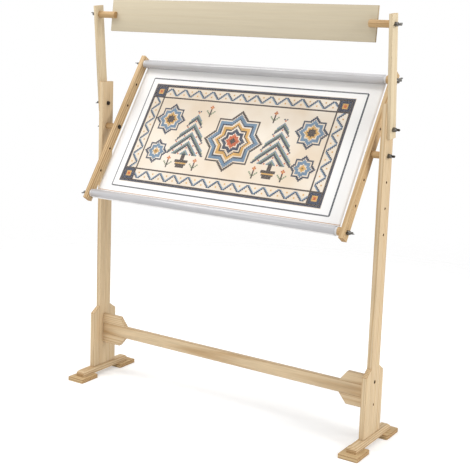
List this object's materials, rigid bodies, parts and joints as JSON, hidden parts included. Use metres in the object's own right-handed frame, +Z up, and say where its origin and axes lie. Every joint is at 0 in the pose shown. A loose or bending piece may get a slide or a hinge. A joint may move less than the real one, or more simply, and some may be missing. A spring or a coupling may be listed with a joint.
{
  "type": "floor-standing embroidery frame",
  "caption": "Wooden floor-standing embroidery frame: two footed uprights with a stretcher, a tilting roller frame with stretched cloth, and a chart board on swinging arms.",
  "frame": {"origin": "on the floor, midway between the two feet and midway between their front and rear pads", "axes": "+X to the sitter's right along the rollers and the stretcher, +Y to the back, away from the sitter, +Z up the uprights"},
  "size_m": [0.872, 0.2524, 1.0138],
  "materials": {
    "post_pine": "planed, unvarnished pine",
    "foot_pine": "planed, unvarnished pine",
    "stretcher_pine": "planed, unvarnished pine",
    "arm_pine": "planed, unvarnished pine",
    "side_bar_pine": "planed, unvarnished pine",
    "dowel_wood": "turned softwood",
    "beech_pin": "turned beech",
    "board_ply": "sanded plywood",
    "grey_tube": "extruded, slightly glossy",
    "grey_clip": "extruded, slightly glossy",
    "dark_steel": "blackened zinc",
    "zinc_steel": "zinc plated",
    "white_cloth": "even-weave cotton, stretched"
  },
  "bodies": {
    "stand": {"left_front_pad": "foot_pine", "left_rear_pad": "foot_pine", "right_front_pad": "foot_pine", "right_rear_pad": "foot_pine", "left_foot_bar": "foot_pine", "right_foot_bar": "foot_pine", "left_post": "post_pine", "right_post": "post_pine", "left_front_cheek": "post_pine", "left_rear_cheek": "post_pine", "right_front_cheek": "post_pine", "right_rear_cheek": "post_pine", "stretcher_bar": "stretcher_pine", "left_upper_block": "stretcher_pine", "left_lower_block": "stretcher_pine", "right_upper_block": "stretcher_pine", "right_lower_block": "stretcher_pine", "foot_screws": "zinc_steel", "stretcher_bolts": "dark_steel", "stretcher_dowels": "beech_pin", "left_arm_bolt": "dark_steel", "right_arm_bolt": "dark_steel", "left_pivot_bolt": "dark_steel", "right_pivot_bolt": "dark_steel", "left_spacer": "dowel_wood", "right_spacer": "dowel_wood"},
    "arms": {"left_arm": "arm_pine", "right_arm": "arm_pine"},
    "board": {"chart_board": "board_ply", "left_board_dowel": "dowel_wood", "right_board_dowel": "dowel_wood", "left_board_stud": "zinc_steel", "right_board_stud": "zinc_steel"},
    "frame": {"left_side_bar": "side_bar_pine", "right_side_bar": "side_bar_pine", "cloth": "white_cloth"},
    "top_roller": {"top_tube": "grey_tube", "top_clip": "grey_clip", "top_left_plug": "dowel_wood", "top_right_plug": "dowel_wood", "top_roller_studs": "zinc_steel"},
    "low_roller": {"low_tube": "grey_tube", "low_clip": "grey_clip", "low_left_plug": "dowel_wood", "low_right_plug": "dowel_wood", "low_roller_studs": "zinc_steel"},
    "left_arm_nut": {"left_arm_nut": "zinc_steel"},
    "right_arm_nut": {"right_arm_nut": "zinc_steel"},
    "left_board_nut": {"left_board_nut": "zinc_steel"},
    "right_board_nut": {"right_board_nut": "zinc_steel"},
    "left_pivot_nut": {"left_pivot_nut": "zinc_steel"},
    "right_pivot_nut": {"right_pivot_nut": "zinc_steel"},
    "top_left_nut": {"top_left_nut": "zinc_steel"},
    "top_right_nut": {"top_right_nut": "zinc_steel"},
    "low_left_nut": {"low_left_nut": "zinc_steel"},
    "low_right_nut": {"low_right_nut": "zinc_steel"}
  },
  "joints": [
    {"name": "arms_swing", "type": "hinge", "parent": "stand", "child": "arms", "pos_m": [0, 0, 0.743], "axis": [1, 0, 0], "range_deg": [-50, 50]},
    {"name": "board_tilt", "type": "hinge", "parent": "arms", "child": "board", "pos_m": [0, -0.02224, 0.97393], "axis": [1, 0, 0], "range_deg": [-180, 180]},
    {"name": "frame_tilt", "type": "hinge", "parent": "stand", "child": "frame", "pos_m": [0, 0, 0.683], "axis": [1, 0, 0], "range_deg": [-180, 180]},
    {"name": "top_roller_turn", "type": "hinge", "parent": "frame", "child": "top_roller", "pos_m": [0, 0.1062, 0.84654], "axis": [1, 0, 0], "range_deg": [-180, 180]},
    {"name": "low_roller_turn", "type": "hinge", "parent": "frame", "child": "low_roller", "pos_m": [0, -0.1062, 0.51946], "axis": [1, 0, 0], "range_deg": [-180, 180]},
    {"name": "left_arm_nut_turn", "type": "hinge", "parent": "stand", "child": "left_arm_nut", "pos_m": [-0.42, 0, 0.743], "axis": [1, 0, 0], "continuous": true},
    {"name": "right_arm_nut_turn", "type": "hinge", "parent": "stand", "child": "right_arm_nut", "pos_m": [0.42, 0, 0.743], "axis": [1, 0, 0], "continuous": true},
    {"name": "left_board_nut_turn", "type": "hinge", "parent": "board", "child": "left_board_nut", "pos_m": [-0.42, -0.02224, 0.97393], "axis": [1, 0, 0], "continuous": true},
    {"name": "right_board_nut_turn", "type": "hinge", "parent": "board", "child": "right_board_nut", "pos_m": [0.42, -0.02224, 0.97393], "axis": [1, 0, 0], "continuous": true},
    {"name": "left_pivot_nut_turn", "type": "hinge", "parent": "stand", "child": "left_pivot_nut", "pos_m": [-0.412, 0, 0.683], "axis": [1, 0, 0], "continuous": true},
    {"name": "right_pivot_nut_turn", "type": "hinge", "parent": "stand", "child": "right_pivot_nut", "pos_m": [0.412, 0, 0.683], "axis": [1, 0, 0], "continuous": true},
    {"name": "top_left_nut_turn", "type": "hinge", "parent": "top_roller", "child": "top_left_nut", "pos_m": [-0.373, 0.1062, 0.84654], "axis": [1, 0, 0], "continuous": true},
    {"name": "top_right_nut_turn", "type": "hinge", "parent": "top_roller", "child": "top_right_nut", "pos_m": [0.373, 0.1062, 0.84654], "axis": [1, 0, 0], "continuous": true},
    {"name": "low_left_nut_turn", "type": "hinge", "parent": "low_roller", "child": "low_left_nut", "pos_m": [-0.373, -0.1062, 0.51946], "axis": [1, 0, 0], "continuous": true},
    {"name": "low_right_nut_turn", "type": "hinge", "parent": "low_roller", "child": "low_right_nut", "pos_m": [0.373, -0.1062, 0.51946], "axis": [1, 0, 0], "continuous": true}
  ],
  "couplings": [
    {"joint": "low_roller_turn", "follows": "top_roller_turn", "ratio": 1}
  ]
}
